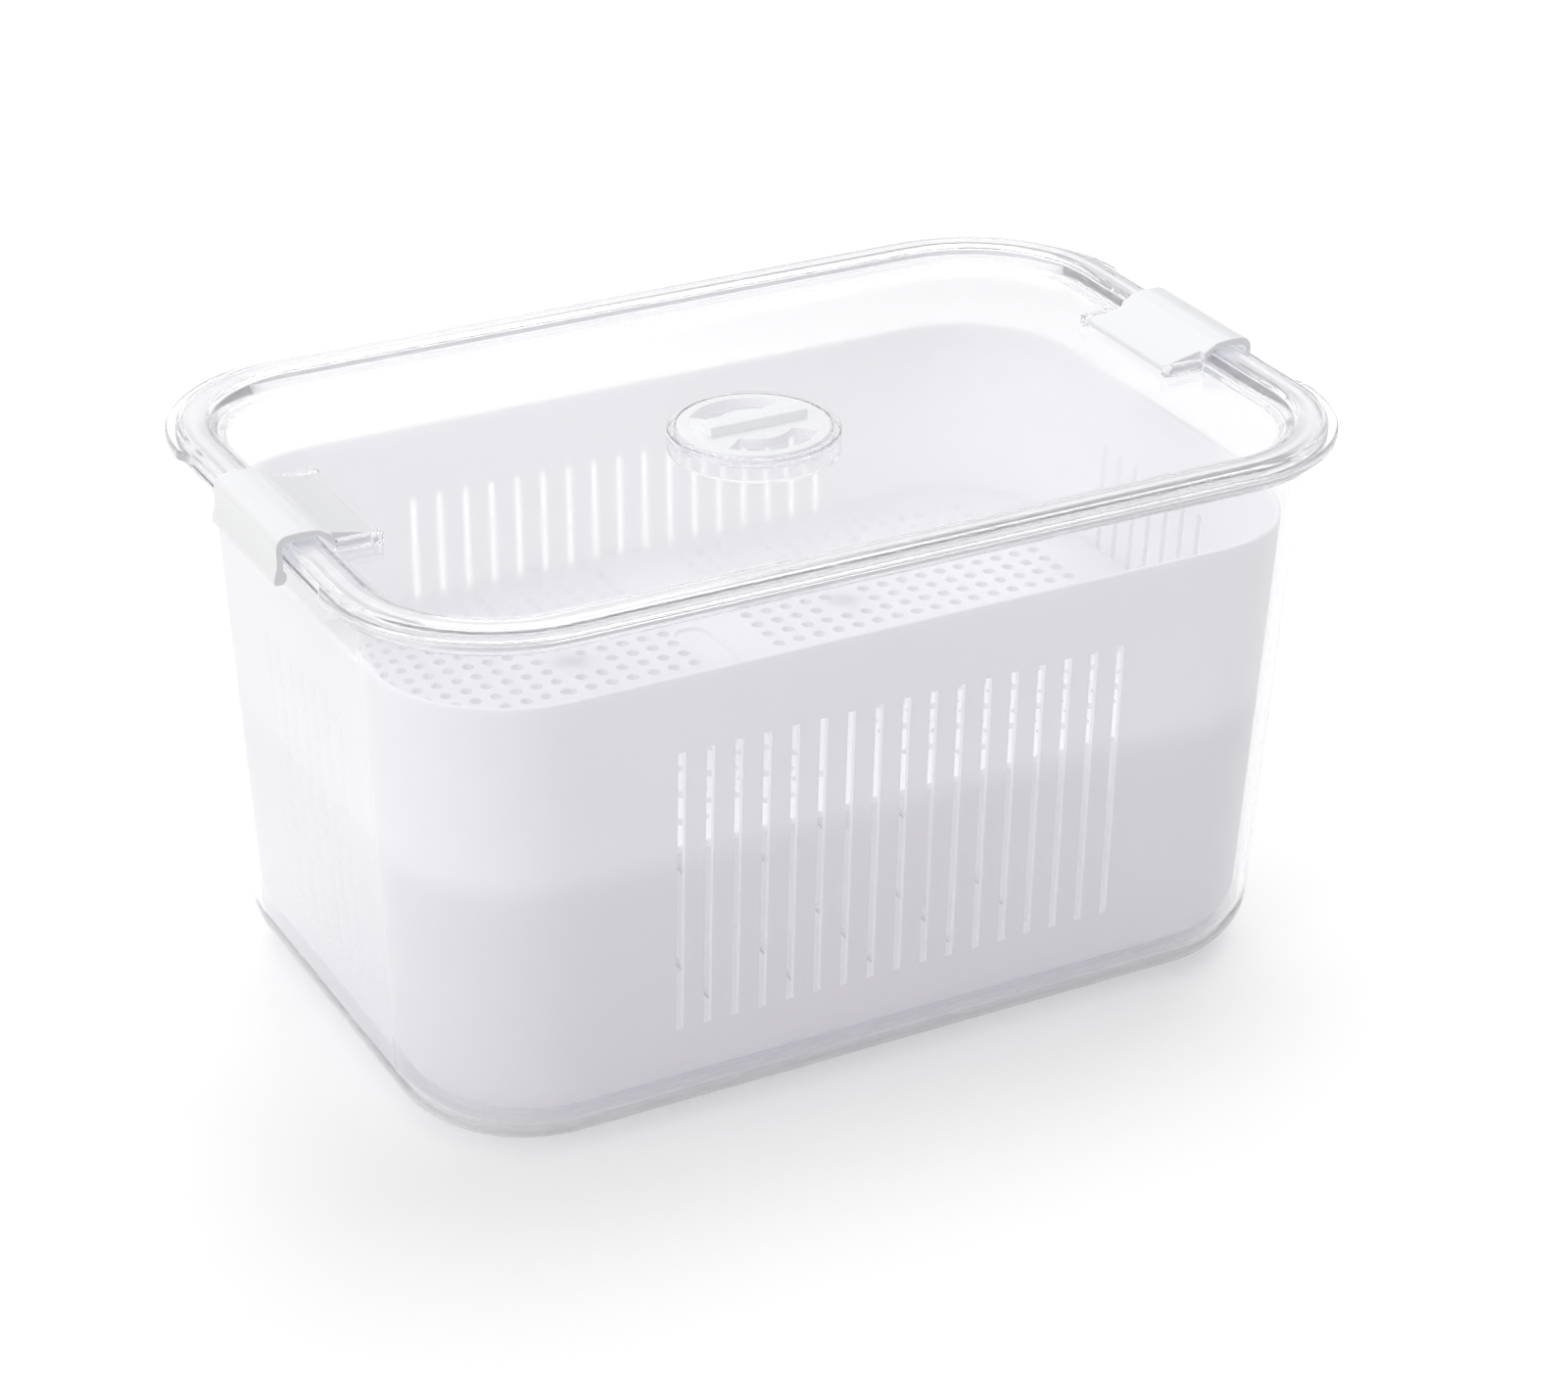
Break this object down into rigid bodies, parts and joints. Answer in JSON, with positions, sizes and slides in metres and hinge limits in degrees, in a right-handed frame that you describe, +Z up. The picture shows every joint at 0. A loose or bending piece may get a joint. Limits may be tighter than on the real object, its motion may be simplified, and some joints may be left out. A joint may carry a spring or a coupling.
{
  "type": "produce keeper",
  "caption": "Clear lidded fridge bin with a slotted white drain basket, a raised perforated drain plate, hinged side clips and a turning vent dial in the lid.",
  "frame": {"origin": "centre of the flat standing face of the bin", "axes": "+X along the length towards the right clip, +Y to the back, +Z up through the lid"},
  "size_m": [0.2774, 0.1816, 0.153],
  "materials": {
    "clear_plastic": "clear, high gloss",
    "white_plastic": "fine satin, slightly translucent",
    "white_clip_plastic": "smooth semi-gloss",
    "silicone": "soft matte, milky"
  },
  "bodies": {
    "bin": {"outer_bin": "clear_plastic"},
    "basket": {"drain_basket": "white_plastic"},
    "plate": {"drain_plate": "white_plastic", "plate_legs": "white_plastic"},
    "lid": {"lid": "clear_plastic", "lid_seal": "silicone"},
    "left_clip": {"left_clip": "white_clip_plastic"},
    "right_clip": {"right_clip": "white_clip_plastic"},
    "vent_dial": {"vent_dial": "white_clip_plastic"}
  },
  "joints": [
    {"name": "lid_lift", "type": "slide", "parent": "bin", "child": "lid", "axis": [0, 0, 1], "range_m": [0, 0.3]},
    {"name": "basket_lift", "type": "slide", "parent": "bin", "child": "basket", "axis": [0, 0, 1], "range_m": [0, 0.15]},
    {"name": "plate_lift", "type": "slide", "parent": "basket", "child": "plate", "axis": [0, 0, 1], "range_m": [0, 0.125]},
    {"name": "left_clip_hinge", "type": "hinge", "parent": "lid", "child": "left_clip", "pos_m": [-0.1127, 0, 0.14715], "axis": [0, 1, 0], "range_deg": [0, 110]},
    {"name": "right_clip_hinge", "type": "hinge", "parent": "lid", "child": "right_clip", "pos_m": [0.1127, 0, 0.14715], "axis": [0, -1, 0], "range_deg": [0, 110]},
    {"name": "vent_dial_turn", "type": "hinge", "parent": "lid", "child": "vent_dial", "pos_m": [0, 0, 0.146], "axis": [0, 0, 1], "range_deg": [0, 90]}
  ],
  "couplings": [
    {"joint": "basket_lift", "follows": "lid_lift", "ratio": 0.5},
    {"joint": "plate_lift", "follows": "lid_lift", "ratio": 0.4166}
  ]
}
